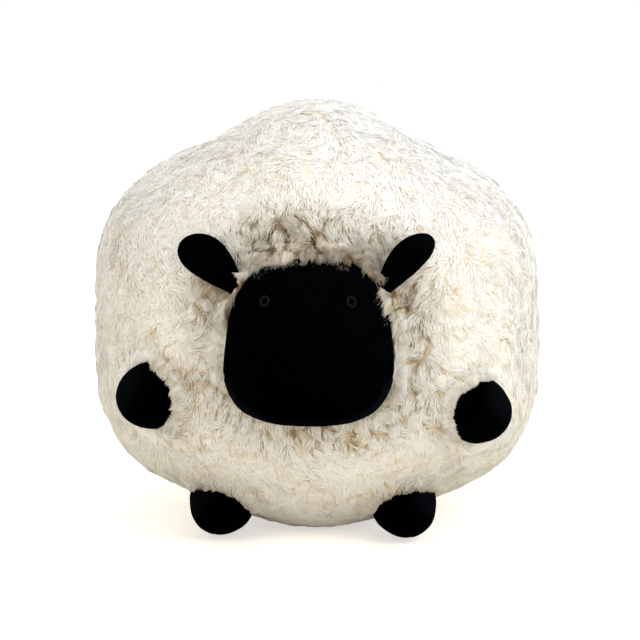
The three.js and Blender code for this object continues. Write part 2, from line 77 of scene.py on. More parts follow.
# The pile: a second value is how much more, or less, it is where the fleece is drawn in
PILE_DEPTH, PILE_DEPTH_MORE = 3.0, 3.4
STRAND_LENGTH, STRAND_LENGTH_MORE = 6.6, 4.2
STRAND_HALF_W, STRAND_HALF_W_LESS = 0.48, 0.18
ROOT_DEPTH = 0.6  # how far under the pile's depth a strand starts

# How many strands there are, with more in a ring round the head and each paw
STRANDS, HEAD_COLLAR, PAW_COLLAR = 370000, 26000, 7000
HEAD_COLLAR_WIDE, PAW_COLLAR_WIDE = 15.0, 13.0


def outline_radius(theta):
    """Radius of the body's outline, a rounded hexagon, seen from the front."""
    return (BODY_RADIUS + BODY_OVAL * np.cos(2 * (theta + math.radians(BODY_OVAL_LEAN)))
            - BODY_SQUARENESS * np.cos(4 * theta) - SEAM_RIDGE * np.cos(6 * theta)
            - SHOULDER_DROP * np.sin(3 * theta) + BODY_PEAK * np.sin(5 * theta))


LOWEST = float(outline_radius(np.array(-math.pi / 2)))
SETTLE_LEVEL = SETTLE_DEPTH - LOWEST


def settle(z, inset):
    """Height of a point once the floor has pressed the bottom up."""
    level = SETTLE_LEVEL + inset
    return level + SETTLE_SOFTNESS * np.logaddexp(0.0, (z - level) / SETTLE_SOFTNESS)


BODY_MIDDLE = -float(settle(np.array(-LOWEST), 0.0)) - REST_CUT
HEAD_MIDDLE = BODY_MIDDLE + HEAD_RAISE


def head_reach(x, z):
    """Radius of the head's outline in the direction of x and z."""
    far = np.maximum(np.hypot(x, z), 1e-6)
    cx, cz = x / far, z / far
    low, high = np.zeros_like(far), np.full_like(far, 3 * HEAD_HALF_W)
    for _ in range(26):
        mid = (low + high) / 2
        across = HEAD_HALF_W * (1 - HEAD_TAPER * mid * cz / HEAD_HALF_H)
        full = np.abs(mid * cx / across) ** HEAD_SQUARE + np.abs(mid * cz / HEAD_HALF_H) ** HEAD_SQUARE
        low = np.where(full < 1, mid, low)
        high = np.where(full < 1, high, mid)
    return low


def head_rim(dz):
    """How far forward the head's rim is, less towards its top."""
    return HEAD_GIRTH - HEAD_TILT * dz / HEAD_HALF_H


def head_dome(share):
    """How far the face stands in front of its rim, at a share of its outline."""
    return HEAD_DOME * np.maximum(1 - share ** HEAD_DOME_SQUARE, 0) ** (1 / HEAD_DOME_SQUARE)


def head_gap(x, z):
    """Distance outside the head's outline, seen from the front."""
    dz = z - HEAD_MIDDLE
    return np.hypot(x, dz) - head_reach(x, dz)


def body_point(theta, phi, inset):
    """Point of the body: theta round the axis from front to back, phi from the front pole, and depth."""
    sine, cosine = np.sin(phi), np.cos(phi)
    size = (np.abs(sine) ** BOXINESS + np.abs(cosine) ** BOXINESS) ** (-1 / BOXINESS)
    across = (outline_radius(theta) - inset) * sine * size
    x = across * np.cos(theta)
    z = BODY_MIDDLE + settle(across * np.sin(theta), inset)
    y = -(HALF_DEPTH - inset) * cosine * size
    drawn = DRAW_IN_DEPTH * np.exp(-(np.maximum(head_gap(x, z), 0) / DRAW_IN_WIDTH) ** 2)
    y = np.where(cosine > 0, y + drawn * np.minimum(1, 3 * cosine), y)
    return np.stack([x, y, z], axis=-1)


def unit(v):
    return v / np.maximum(np.linalg.norm(v, axis=-1, keepdims=True), 1e-9)


def laid(v, normals):
    """The part of v that lies along the surface."""
    return v - normals * np.sum(v * normals, axis=-1, keepdims=True)


def turns(count):
    """Evenly spaced angles round one full turn."""
    return np.linspace(0, 2 * math.pi, count + 1)[:-1]


def body_normal(theta, phi):
    """Outward direction of the body's surface."""
    step = 0.006
    along = body_point(theta, phi + step, 0.0) - body_point(theta, phi - step, 0.0)
    round_ = body_point(theta + step, phi, 0.0) - body_point(theta - step, phi, 0.0)
    normal = unit(np.cross(along, round_))
    out = body_point(theta, phi, 0.0) - np.array([0, 0, BODY_MIDDLE])
    return np.where(np.sum(normal * out, axis=-1, keepdims=True) < 0, -normal, normal)


# Noise
def lattice(i, j, k, seed):
    """A fixed number from -1 to 1 for each corner of a grid."""
    h = (i * 374761393 + j * 668265263 + k * 2147483629 + seed * 1274126177) & 0xFFFFFFFF
    h = ((h ^ (h >> 13)) * 1103515245) & 0xFFFFFFFF
    h = ((h ^ (h >> 16)) * 2246822519) & 0xFFFFFFFF
    return (h & 0xFFFFFF) / float(0x800000) - 1.0


def noise(points, scale, seed):
    """Smooth value noise from -1 to 1."""
    q = points / scale + 1000.0
    cell = np.floor(q).astype(np.int64)
    f = q - cell
    f = f * f * (3 - 2 * f)
    total = 0.0
    for a in (0, 1):
        for b in (0, 1):
            for c in (0, 1):
                w = ((f[:, 0] if a else 1 - f[:, 0]) * (f[:, 1] if b else 1 - f[:, 1])
                     * (f[:, 2] if c else 1 - f[:, 2]))
                total = total + w * lattice(cell[:, 0] + a, cell[:, 1] + b, cell[:, 2] + c, seed)
    return total


def smooth(low, high, x):
    """Eased step from 0 at low to 1 at high."""
    t = np.clip((x - low) / (high - low), 0, 1)
    return t * t * (3 - 2 * t)


# Meshes and materials
def srgb(r, g, b):
    """A colour from 0 to 255 as the linear one that a shader takes."""
    def line(v):
        v = v / 255
        return v / 12.92 if v <= 0.04045 else ((v + 0.055) / 1.055) ** 2.4
    return (line(r), line(g), line(b), 1.0)


def placed(name, data):
    """An object in the scene, made from its data."""
    obj = bpy.data.objects.new(name, data)
    bpy.context.scene.collection.objects.link(obj)
    return obj


def mesh_object(name, verts, faces_flat, face_sizes):
    """An object from vertices in millimetres and faces as one flat list with the size of each."""
    mesh = bpy.data.meshes.new(name)
    verts = np.ascontiguousarray(verts, dtype=np.float32) * np.float32(MM)
    mesh.vertices.add(len(verts))
    mesh.vertices.foreach_set("co", verts.ravel())
    mesh.loops.add(len(faces_flat))
    mesh.loops.foreach_set("vertex_index", np.ascontiguousarray(faces_flat, dtype=np.int32))
    mesh.polygons.add(len(face_sizes))
    starts = np.concatenate([[0], np.cumsum(face_sizes)[:-1]]).astype(np.int32)
    mesh.polygons.foreach_set("loop_start", starts)
    mesh.update(calc_edges=True)
    mesh.polygons.foreach_set("use_smooth", np.full(len(face_sizes), True))
    mesh.validate()
    return placed(name, mesh)


def grid_faces(rows, columns, wrap=True):
    """Quads of a grid of points, wrapped round its columns or not."""
    r, c = np.meshgrid(np.arange(rows - 1), np.arange(columns if wrap else columns - 1), indexing="ij")
    n = (c + 1) % columns
    low, high = r * columns, (r + 1) * columns
    return np.stack([low + c, high + c, high + n, low + n], axis=-1).reshape(-1, 4)


def fan(pole, ring):
    """Triangles from a pole to a ring of points."""
    return np.stack([np.full(len(ring), pole), ring, np.roll(ring, -1)], axis=1)


def ball_object(name, points, rows, columns):
    """A ball from a grid of points, closed with a fan at each pole."""
    quads = grid_faces(rows, columns)
    poles = np.stack([points[:columns].mean(axis=0), points[-columns:].mean(axis=0)])
    count, ring = len(points), np.arange(columns)
    caps = np.concatenate([fan(count, ring), fan(count + 1, count - 1 - ring)])
    return mesh_object(name, np.concatenate([points, poles]), np.concatenate([quads.ravel(), caps.ravel()]),
                       np.repeat([4, 3], [len(quads), len(caps)]))


def point_attribute(obj, name, values):
    """Stores a number for each vertex, which the materials read."""
    attribute = obj.data.attributes.new(name, "FLOAT", "POINT")
    attribute.data.foreach_set("value", np.ascontiguousarray(values, dtype=np.float32))


class Nodes:
    """Short hand for building a material's nodes."""

    def __init__(self, name):
        self.material = bpy.data.materials.new(name)
        self.material.use_nodes = True
        self.tree = self.material.node_tree
        self.shader = next(n for n in self.tree.nodes if n.type == "BSDF_PRINCIPLED")
        self.out = next(n for n in self.tree.nodes if n.type == "OUTPUT_MATERIAL")

    def add(self, kind, **values):
        node = self.tree.nodes.new(kind)
        for key, value in values.items():
            if key in node.inputs:
                node.inputs[key].default_value = value
            else:
                setattr(node, key, value)
        return node

    def link(self, source, target):
        self.tree.links.new(source, target)

    def ramp(self, source, stops):
        node = self.add("ShaderNodeValToRGB")
        ramp = node.color_ramp
        while len(ramp.elements) < len(stops):
            ramp.elements.new(0.5)
        for element, (place, colour) in zip(ramp.elements, stops):
            element.position = place
            element.color = colour
        self.link(source, node.inputs["Fac"])
        return node.outputs["Color"]

    def attribute(self, name):
        return self.add("ShaderNodeAttribute", attribute_name=name).outputs["Fac"]

    def noise(self, scale, detail, rough):
        where = self.add("ShaderNodeTexCoord").outputs["Object"]
        node = self.add("ShaderNodeTexNoise", Scale=scale, Detail=detail, Roughness=rough)
        self.link(where, node.inputs["Vector"])
        return node.outputs["Fac"]

    def colour(self, base, darker):
        """The material's colour, a base multiplied by a darkening colour: painted shade on the pile, grain on
        the undercoat and patchiness on the velvet.
        """
        node = self.add("ShaderNodeMix", data_type="RGBA", blend_type="MULTIPLY")
        node.inputs["Factor"].default_value = 1.0
        self.link(base, node.inputs[6])
        self.link(darker, node.inputs[7])
        self.link(node.outputs[2], self.shader.inputs["Base Color"])

    def set(self, **values):
        for key, value in values.items():
            self.shader.inputs[key.replace("_", " ")].default_value = value

    def bump(self, height, strength, distance):
        node = self.add("ShaderNodeBump", Strength=strength, Distance=distance)
        self.link(height, node.inputs["Height"])
        self.link(node.outputs["Normal"], self.shader.inputs["Normal"])


def fleece_material():
    m = Nodes("fleece_pile")
    # tone runs from tan to cream, with painted shade in it where locks part and where the fleece is drawn in;
    # shade is painted shade multiplied in
    base = m.ramp(m.attribute("tone"), [
        (0.0, srgb(172, 142, 112)), (0.25, srgb(217, 191, 158)), (0.5, srgb(243, 230, 208)),
        (0.75, srgb(251, 249, 244)), (1.0, srgb(253, 252, 250)),
    ])
    depth = m.ramp(m.attribute("shade"), [
        (0.0, (0.16, 0.13, 0.10, 1)), (0.5, (0.60, 0.57, 0.52, 1)), (1.0, (1, 1, 1, 1)),
    ])
    m.colour(base, depth)
    m.set(Roughness=0.8, Specular_IOR_Level=0.2, Sheen_Weight=0.1, Sheen_Roughness=0.5)
    return m.material


def backing_material():
    m = Nodes("fleece_undercoat")
    tone = m.attribute("tone")
    base = m.ramp(tone, [(0.0, srgb(182, 150, 118)), (0.5, srgb(236, 220, 194)), (1.0, srgb(250, 244, 232))])
    grain = m.ramp(m.noise(1400.0, 3.0, 0.65), [(0.3, (0.8, 0.8, 0.8, 1)), (0.7, (1, 1, 1, 1))])
    m.colour(base, grain)
    m.set(Roughness=0.95, Specular_IOR_Level=0.1)
    m.bump(m.noise(1400.0, 3.0, 0.65), 0.5, 0.0012)
    return m.material


def velvet_material():
    m = Nodes("black_velvet")
    patchy = m.ramp(m.noise(55.0, 3.0, 0.55), [(0.3, (0.7, 0.7, 0.7, 1)), (0.7, (1, 1, 1, 1))])
    # painted sheen: an attribute lightens the black velvet towards a pale blue where the light falls
    base = m.ramp(m.attribute("painted_sheen"), [
        (0.0, (0.0001, 0.0001, 0.00012, 1)), (1.0, (0.0075, 0.0090, 0.0140, 1)),
    ])
    m.colour(base, patchy)
    m.set(Roughness=0.9, Specular_IOR_Level=0.002, Sheen_Weight=0.002, Sheen_Roughness=0.4,
          Sheen_Tint=(0.75, 0.82, 1.0, 1.0))
    m.bump(m.noise(1900.0, 2.0, 0.6), 0.35, 0.0004)
    return m.material


def thread_material():
    m = Nodes("black_satin_thread")
    base = m.ramp(m.noise(900.0, 2.0, 0.5), [
        (0.3, (0.0015, 0.0015, 0.002, 1)), (0.7, (0.0035, 0.004, 0.005, 1)),
    ])
    m.link(base, m.shader.inputs["Base Color"])
    m.set(Roughness=0.5, Specular_IOR_Level=0.05)
    m.bump(m.noise(2500.0, 1.0, 0.5), 0.2, 0.0002)
    return m.material


FLEECE = fleece_material()
BACKING = backing_material()
VELVET = velvet_material()
THREAD = thread_material()


# Paws and ears, placed by the frame's joints
def pivot(joint_name):
    """A joint's place in millimetres."""
    joint = next(j for j in frame["record"]["behaviour"]["joints"] if j["name"] == joint_name)
    return np.array(joint["pos_m"]) / MM


PAW_TIPS = {
    "arm_left": (-0.76, -0.64, -0.08), "arm_right": (0.72, -0.66, -0.22),
    "foot_left": (-0.35, -0.62, -0.62), "foot_right": (0.35, -0.62, -0.62),
}
PAWS = {name: pivot(name + "_swing") for name in PAW_TIPS}
PAW_RADIUS, PAW_NOSE = 32.0, 3.0  # of the ball, and how far its tip stands out
EAR_LENGTH, EAR_HALF_W, EAR_ROOT_HALF_W, EAR_WIDEST, EAR_BOW = 64.0, 19.5, 9.0, 0.62, 3.0
EAR_ROOT_THICK, EAR_PUFF, EAR_RIM = 5.2, 1.3, 0.9  # half thicknesses
EAR_SIDE = {"ear_left": -1, "ear_right": 1}
EAR_LIE = {"ear_left": (40, 2, 0), "ear_right": (49, 6, 40)}  # rise, lean forward and twist, in degrees
PAW_LIP = {"arm_left": 15.0, "arm_right": 13.0, "foot_left": 9.0, "foot_right": 9.0}
PAW_COVERED_SIDE = {
    "arm_left": (1, -0.5, 0.0), "arm_right": (-1, -0.4, 0.6),
    "foot_left": (0.25, -0.6, 0.9), "foot_right": (-0.2, -0.6, 0.95),
}


def ear_axes(side, rise, forward, twist):
    """The ways along an ear, across it and out of its front."""
    rise, forward, twist = math.radians(rise), math.radians(forward), math.radians(side * twist)
    length = np.array([side * math.cos(rise) * math.cos(forward), -math.sin(forward),
                       math.sin(rise) * math.cos(forward)])
    front = unit(np.array([0, -1.0, 0]) + length * length[1])
    front = front * math.cos(twist) + np.cross(length, front) * math.sin(twist)
    return length, np.cross(front, length), front


EAR_AXES = {name: ear_axes(EAR_SIDE[name], *lie) for name, lie in EAR_LIE.items()}
EARS = {name: pivot(name + "_flap") for name in EAR_LIE}


def ear_bow(name, share):
    """How far the leaf bows across from the line through its root and tip."""
    return EAR_SIDE[name] * EAR_BOW * np.sin(np.clip(share, 0, 1) * math.pi)


# Fleece
def spread(count):
    """Evenly spread places on the body, as theta and phi, a little out of order."""
    golden_angle = math.pi * (3 - math.sqrt(5))
    table = np.linspace(0.05, math.pi - 0.01, 2000)
    th, ph = np.meshgrid(turns(48), table, indexing="xy")
    p = body_point(th, ph, 0.0)
    along = np.linalg.norm(np.diff(p, axis=0), axis=-1)
    wide = np.linalg.norm(np.roll(p, -1, axis=1) - p, axis=-1)[:-1]
    area = np.concatenate([[0], np.cumsum(np.sum(along * wide, axis=1))])
    i = np.arange(count)
    u = (i + 0.5 + RNG.uniform(-0.45, 0.45, count) * 40) / count
    phi = np.interp(np.clip(u, 0, 1) * area[-1], area, table)
    theta = (i * golden_angle + RNG.uniform(-0.5, 0.5, count) * 3.5 / math.sqrt(count)) % (2 * math.pi)
    return theta, phi


def seam_distance(theta, points):
    """Distance to the nearest gore seam, in millimetres."""
    best = np.full(len(theta), 1e9)
    for seam in GORE_SEAMS:
        delta = (theta - math.radians(seam) + math.pi) % (2 * math.pi) - math.pi
        best = np.minimum(best, np.abs(delta))
    return best * np.hypot(points[:, 0], points[:, 2] - BODY_MIDDLE)


def zones(points):
    """How much the pile is drawn in round the head, and the stronger part of it above the head."""
    gap = head_gap(points[:, 0], points[:, 2])
    dz = points[:, 2] - HEAD_MIDDLE
    front = points[:, 1] < FRONT_SIDE
    upper = smooth(-10, 45, dz)
    side = smooth(-30, 30, points[:, 0])
    drawn = np.where(front, smooth(64, 12, gap) * (0.55 + 0.45 * np.maximum(upper, 0.6 * side)), 0)
    above = np.where(front, smooth(66, 18, gap + 10 * noise(points, 30.0, 21)) * upper, 0)
    return gap, dz, front, drawn, above


def paw_field(name, points, normals):
    """The way out from a paw along the fleece, its distance, and how far on the side that the pile covers."""
    away = points - PAWS[name]
    far = np.linalg.norm(away, axis=-1) - PAW_RADIUS
    inner = smooth(-0.25, 0.45, unit(away) @ unit(np.array(PAW_COVERED_SIDE[name], dtype=float)))
    return unit(laid(away, normals)), far, inner


def ear_frame(name, points):
    """Places along an ear, down from its middle line and out of its front."""
    along, across, out = ((points - EARS[name]) @ v for v in EAR_AXES[name])
    return along, -EAR_SIDE[name] * (across - ear_bow(name, along / EAR_LENGTH)), out


def ear_half_width(share):
    wide = EAR_HALF_W * np.sqrt(np.maximum(1 - ((share - EAR_WIDEST) / (1 - EAR_WIDEST)) ** 2, 0))
    grown = np.clip(share, 0, EAR_WIDEST) / EAR_WIDEST
    narrow = EAR_ROOT_HALF_W + (EAR_HALF_W - EAR_ROOT_HALF_W) * np.sin(grown * math.pi / 2)
    return np.where(share > EAR_WIDEST, wide, narrow)


def lip(points, normals):
    """How far the pile rises to lie over the rim of the head, a paw or an ear's root."""
    gap, dz, front, _, _ = zones(points)
    rim = head_rim(np.clip(dz, -HEAD_HALF_H, HEAD_HALF_H))
    proud = np.clip(points[:, 1] + rim + 1.5, 0, 26)
    ragged = 1 + 0.2 * noise(points, 9.0, 23)
    low = np.where(points[:, 0] > 0, -4.0, 4.0)
    reach = smooth(low, low + 24, dz)
    up = np.where(front, proud * reach * smooth(17, 1.5, gap) * smooth(-8, -1, gap) * ragged, 0)
    for name in EARS:
        along, down, out = ear_frame(name, points)
        below = smooth(-3, 3, down) * smooth(17, 9, np.hypot(along, down)) * smooth(-8, -2, along)
        near = np.sqrt((along + 5) ** 2 + ((down + 6) * 0.75) ** 2 + np.maximum(np.abs(out) - 12, 0) ** 2)
        above = 11.0 * smooth(16, 6, near) * smooth(3, -2, along) * smooth(2, -4, down) * ragged
        up = np.maximum(up * (1 - 0.9 * below), above)
    for name in PAWS:
        _, far, inner = paw_field(name, points, normals)
        up = np.maximum(up, PAW_LIP[name] * inner * smooth(20, 1, far) * ragged)
    return up


def flow(points, normals):
    """The way that the pile lies at each point."""
    down = np.array([0.0, 0.25, -1.0])
    lay = unit(laid(down, normals) + 1e-3)
    turn = 1.3 * noise(points, 42.0, 11) + 1.1 * noise(points, 16.0, 12)
    side = np.cross(normals, lay)
    lay = lay * np.cos(turn)[:, None] + side * np.sin(turn)[:, None]
    gap, dz, front, _, _ = zones(points)
    toward = np.stack([-points[:, 0], np.zeros(len(points)), -dz], axis=-1)
    toward = unit(laid(toward, normals))
    pull = np.where(front, smooth(30, 4, gap), 0) * (2.0 * smooth(-45, -5, dz) - 0.9)
    lay = lay + toward * pull[:, None]
    for name in PAWS:
        away, far, inner = paw_field(name, points, normals)
        lay = lay + away * (smooth(22, 3, far) * (0.8 - 2.8 * inner))[:, None]
    for name in EARS:
        along, down, out = ear_frame(name, points)
        near = np.sqrt((along + 4) ** 2 + down ** 2 + np.maximum(np.abs(out) - 12, 0) ** 2)
        near = smooth(20, 8, near) * smooth(6, 0, along) * smooth(2, -4, down)
        lay = lay + EAR_AXES[name][0] * (2.2 * near)[:, None]
    return unit(laid(lay, normals))


def push_out(points, margin):
    """Keeps pile points out of the paws, the ears, the head and the floor."""
    for middle in PAWS.values():
        away = points - middle
        far = np.linalg.norm(away, axis=-1, keepdims=True)
        want = PAW_RADIUS + margin[:, None]
        points = np.where(far < want, middle + away / np.maximum(far, 1e-6) * want, points)
    for name in EARS:
        along, down, out = ear_frame(name, points)
        half = ear_half_width(along / EAR_LENGTH) + 0.5
        round_ = np.sqrt(np.maximum(1 - (down / half) ** 2, 0)) ** 0.75
        thick = (6.6 * round_ + 0.6) + margin * 0.6
        inside = (along > -5.5) & (along < EAR_LENGTH + 1) & (np.abs(down) < half) & (np.abs(out) < thick)
        front = (along < 16) & (out > -2.0) & (down < 0)
        move = np.where(front, thick - out, -thick - out)
        points = points + EAR_AXES[name][2] * np.where(inside, move, 0)[:, None]
    dz = points[:, 2] - HEAD_MIDDLE
    reach = head_reach(points[:, 0], dz)
    share = np.hypot(points[:, 0], dz) / reach
    rim = -head_rim(dz)
    surface = rim - head_dome(np.clip(share, 0, 1)) - margin * 0.7 - 0.9
    hit = (points[:, 1] > surface) & (points[:, 1] < FRONT_SIDE)
    behind = hit & (points[:, 1] > rim + 2.0) & (share < 1 + 0.4 / reach)
    out = (reach - 0.3 + 1.3 * margin) / np.maximum(share * reach, 1.0)
    points[:, 1] -= np.where(behind, 0.8 * np.maximum(reach * (1 - share), 0), 0)
    points[:, 0] = np.where(behind, points[:, 0] * out, points[:, 0])
    points[:, 2] = np.where(behind, HEAD_MIDDLE + dz * out, points[:, 2])
    points[:, 1] = np.where(hit & ~behind & (share < 1), surface, points[:, 1])
    points[:, 2] = np.maximum(points[:, 2], 0.4)
    return points


class Locks:
    """Locks of pile: where each one is, how it lies, and which one a strand belongs to."""

    def __init__(self, count, reach, pull, blend, unrest):
        theta, phi = spread(count)
        self.point, normal = body_point(theta, phi, 0.0), body_normal(theta, phi)
        lay = flow(self.point, normal)
        swirl = RNG.normal(0, unrest, count)
        self.flow = lay * np.cos(swirl)[:, None] + np.cross(normal, lay) * np.sin(swirl)[:, None]
        self.tone, self.tall = RNG.normal(0, 1, count), RNG.normal(0, 1, count)
        self.reach, self.pull, self.blend = reach, pull, blend
        self.tree = KDTree(count)
        for index, point in enumerate(self.point.tolist()):
            self.tree.insert(point, index)
        self.tree.balance()

    def nearest(self, points):
        """The two nearest locks' numbers, the distance to the first, and how much further the second is."""
        found = [self.tree.find_n(p, 2) for p in points.tolist()]
        near, far = (np.array([f[i][2] for f in found]) for i in (0, 1))
        return np.array([f[0][1] for f in found]), np.array([f[1][1] for f in found]), near, far - near


FINE = Locks(count=5600, reach=7.0, pull=5.5, blend=5.0, unrest=0.6)
COARSE = Locks(count=2600, reach=11.5, pull=8.5, blend=2.5, unrest=0.8)


def locks_at(points, drawn):
    """The lock of each point, fine on most of the body and coarse where the fleece is drawn in."""
    coarse = drawn > 0.5 + 0.35 * noise(points, 14.0, 24)
    out = {}
    for which, locks in ((~coarse, FINE), (coarse, COARSE)):
        number, second, near, border = locks.nearest(points[which])
        share = (0.5 + 0.5 * smooth(0, locks.blend, border))[:, None]
        lie = locks.flow[number] * share + locks.flow[second] * (1 - share)
        part = {"point": locks.point[number], "flow": lie, "tone": locks.tone[number],
                "tall": locks.tall[number], "mound": np.clip(1 - (near / locks.reach) ** 2, 0, 1),
                "border": border, "pull": np.full(len(near), locks.pull)}
        for key, value in part.items():
            out.setdefault(key, np.zeros((len(points),) + value.shape[1:]))[which] = value
    out["coarse"] = coarse
    return out


def lumps(points):
    """Low soft lumps that show in the outline."""
    return 1.1 * noise(points, 24.0, 41) + 1.6 * noise(points, 11.0, 42)


def crevice(points, lock, drawn):
    """From 0 to 1, where locks part; the tan there is painted shade."""
    gate = 0.6 * noise(points, 21.0, 35) + 0.5 * noise(points, 9.0, 36) + 0.08 + 0.36 * drawn
    wide = np.where(lock["coarse"], 3.8, 2.6)
    return smooth(1, 0.1, lock["border"] / wide) * smooth(0.2, 0.55, gate)


def front_place(x, z):
    """theta and phi of the body's front surface at x and z."""
    theta = np.arctan2(z - BODY_MIDDLE, x)
    out = np.minimum(np.hypot(x, z - BODY_MIDDLE) / outline_radius(theta), 0.995)
    return theta, np.arctan2(out, (1 - out ** BOXINESS) ** (1 / BOXINESS))


def collar_places():
    """More strands where the pile covers the rims of the head, the paws and the ears' roots."""
    angle = RNG.uniform(math.radians(-25), math.radians(205), HEAD_COLLAR)
    x, z = np.cos(angle), np.sin(angle)
    far = head_reach(x, z) + RNG.uniform(-0.5, HEAD_COLLAR_WIDE, HEAD_COLLAR)
    places = [front_place(x * far, HEAD_MIDDLE + z * far)]
    for middle in PAWS.values():
        angle = RNG.uniform(0, 2 * math.pi, PAW_COLLAR)
        far = PAW_RADIUS + RNG.uniform(-0.5, PAW_COLLAR_WIDE, PAW_COLLAR)
        normal = body_normal(*front_place(middle[:1], middle[2:]))
        side = unit(np.cross(normal, UP))
        up = np.cross(side, normal)
        ring = middle + (side * np.cos(angle)[:, None] + up * np.sin(angle)[:, None]) * far[:, None]
        places.append(front_place(ring[:, 0], np.maximum(ring[:, 2], 6.0)))
    return np.concatenate(places, axis=1)


def strand_places():
    """theta, point and outward direction of each strand, with none under the head, a paw or the body."""
    theta, phi = spread(STRANDS)
    more_theta, more_phi = collar_places()
    theta, phi = np.concatenate([theta, more_theta % (2 * math.pi)]), np.concatenate([phi, more_phi])
    outer, normal = body_point(theta, phi, 0.0), body_normal(theta, phi)
    keep = (head_gap(outer[:, 0], outer[:, 2]) >= -0.8) | (outer[:, 1] >= FRONT_SIDE)
    for middle in PAWS.values():
        keep &= np.linalg.norm(outer - middle, axis=-1) > PAW_RADIUS - 0.5
    keep &= (outer[:, 2] >= 1.5) | (normal[:, 2] >= -0.97)
    return theta[keep], outer[keep], normal[keep]


def make_strands():
    """Every strand's theta, root, knee, tip and outward direction, with its tone, shade and wildness."""
    theta, outer, normal = strand_places()
    gap, dz, front, drawn, above = zones(outer)
    count = len(theta)

    # the way it lies, ruled by the rims of the head and the paws or left to its lock
    lay = flow(outer, normal)
    lock = locks_at(outer, drawn)
    swell = lip(outer, normal)
    rule = np.clip(swell / 8, 0, 1)
    by_paw = np.zeros(count)
    for name in PAWS:
        by_paw = np.maximum(by_paw, smooth(13, 1, paw_field(name, outer, normal)[1]))
    rule = np.maximum(rule, 0.8 * by_paw)
    rim = np.where(front, smooth(15, 1, gap), 0)
    loose = 0.14 + 0.2 * drawn
    lay = unit(lay * (0.45 + 1.0 * rule)[:, None] + lock["flow"] * 0.9
               + RNG.normal(0, 1, (count, 3)) * loose[:, None])
    lay = unit(laid(lay, normal))
    over = rim * smooth(0, 40, dz)
    part = crevice(outer, lock, drawn) * (1 - 0.5 * over)
    seam = np.exp(-(seam_distance(theta, outer) / 3.5) ** 2) * 0.5 * smooth(-0.3, 0.4, noise(outer, 30.0, 37))
    wild = np.maximum(drawn, rule) * (1 - 0.4 * by_paw)
    wisp, wisp_2, wisp_3 = (noise(outer, size, seed) for size, seed in ((2.3, 71), (3.1, 72), (2.0, 73)))
    sway = (0.12 + 0.4 * wild - 0.2 * rule) * wisp_2 + 0.7 * rule * noise(outer, 8.0, 75)
    lay = unit(lay + np.cross(normal, lay) * sway[:, None])

    # its length, and how far its knee and tip rise
    length = (STRAND_LENGTH + STRAND_LENGTH_MORE * wild) * (1 + 0.16 * RNG.normal(0, 1, count))
    length *= 1 + (0.06 + 0.32 * wild) * wisp_3
    length *= 1 + rule * (0.3 * noise(outer, 6.0, 74) - 0.16)
    length *= (1 - (0.12 + 0.3 * drawn) * part) * (1 - 0.3 * by_paw)
    depth = PILE_DEPTH + PILE_DEPTH_MORE * wild
    relief = 0.27 + 1.0 * drawn + 0.7 * above
    here = lumps(outer)
    rise = depth - ROOT_DEPTH + relief * (1.5 * lock["mound"] + 0.6 * lock["tall"]) + here
    rise += (0.12 + 1.1 * wild) * wisp + (0.22 + 0.15 * wild) * RNG.normal(0, 1, count)
    rise -= (0.35 + 3.2 * drawn) * part + 1.2 * seam
    rise = np.clip(rise, 1.0, 11.0)
    knee_rise = rise * (0.98 - 0.2 * wild) + (lumps(outer + lay * (0.3 * length)[:, None]) - here)
    tip_rise = rise * (0.84 + 0.16 * wild) + (lumps(outer + lay * length[:, None]) - here)

    # its points, with the tip gathered towards its lock
    root = outer + normal * (swell - depth - ROOT_DEPTH)[:, None] + RNG.normal(0, 0.25, (count, 3))
    knee = root + normal * knee_rise[:, None] + lay * (length * 0.3)[:, None]
    tip = root + normal * tip_rise[:, None] + lay * length[:, None]
    toward = lock["point"] + lock["flow"] * lock["pull"][:, None] + normal * swell[:, None] - tip
    toward = laid(toward, normal)
    far = np.linalg.norm(toward, axis=-1, keepdims=True)
    toward *= np.minimum(1.0, lock["pull"][:, None] / np.maximum(far, 1e-6))
    gather = (0.07 + 0.36 * drawn + 0.06 * noise(outer, 26.0, 51)) * (1 - 0.35 * np.clip(swell / 6, 0, 1))
    gather *= 1 + 0.35 * RNG.normal(0, 1, count)
    tip = tip + toward * gather[:, None]
    knee = knee + toward * (gather * 0.35)[:, None]

    # kept out of the velvet pieces, and left out where it would still lie over them
    margin = 0.5 + 1.6 * RNG.uniform(0, 1, count)
    knee, tip = push_out(knee, margin), push_out(tip, margin)
    bare = front & (head_gap(tip[:, 0], tip[:, 2]) < -0.4) & (root[:, 1] > 8.5 - head_rim(dz))
    for name in EARS:
        along, down, out = ear_frame(name, tip)
        bare |= (along > -3) & (along < 24) & (down > -6) & (down < 15) & (out > -9)

    # its tone, tan in smudges, with painted shade in it where locks part and where the fleece is drawn in,
    # and its painted shade
    smudge = smooth(0.05, 0.55, noise(outer * (0.4, 0.55, 1.0), 4.2, 62))
    smudge *= smooth(-0.5, 0.3, noise(outer, 40.0, 63))
    tone = (0.88 + (0.01 + 0.05 * drawn) * lock["tone"] + (0.02 + 0.07 * wild) * wisp
            + 0.02 * RNG.normal(0, 1, count) + 0.05 * noise(outer, 33.0, 61)
            - (0.34 + 0.12 * drawn) * part - 0.1 * seam - 0.23 * smudge - 0.16 * drawn)
    # painted shade and shadow: darker where drawn in, above the head, where locks part there, on the fringe
    # over the head, in its shadow under it and round the paws
    deep = smooth(-0.45, 0.5, 0.7 * noise(outer, 15.0, 64) + 0.5 * noise(outer, 6.0, 65))
    under = rim * smooth(-5, -45, dz)
    shade = (1.0 - 0.1 * drawn - above * (0.10 + 0.42 * deep) - 0.45 * drawn * part - 0.22 * over
             - 0.5 * under ** 2 - 0.42 * by_paw ** 2 * np.clip(swell / 5, 0.3, 1)
             + (0.02 + 0.13 * wild) * wisp + 0.04 * wild * RNG.normal(0, 1, count))
    return [v[~bare] for v in (theta, root, knee, tip, normal, tone, shade, wild)]


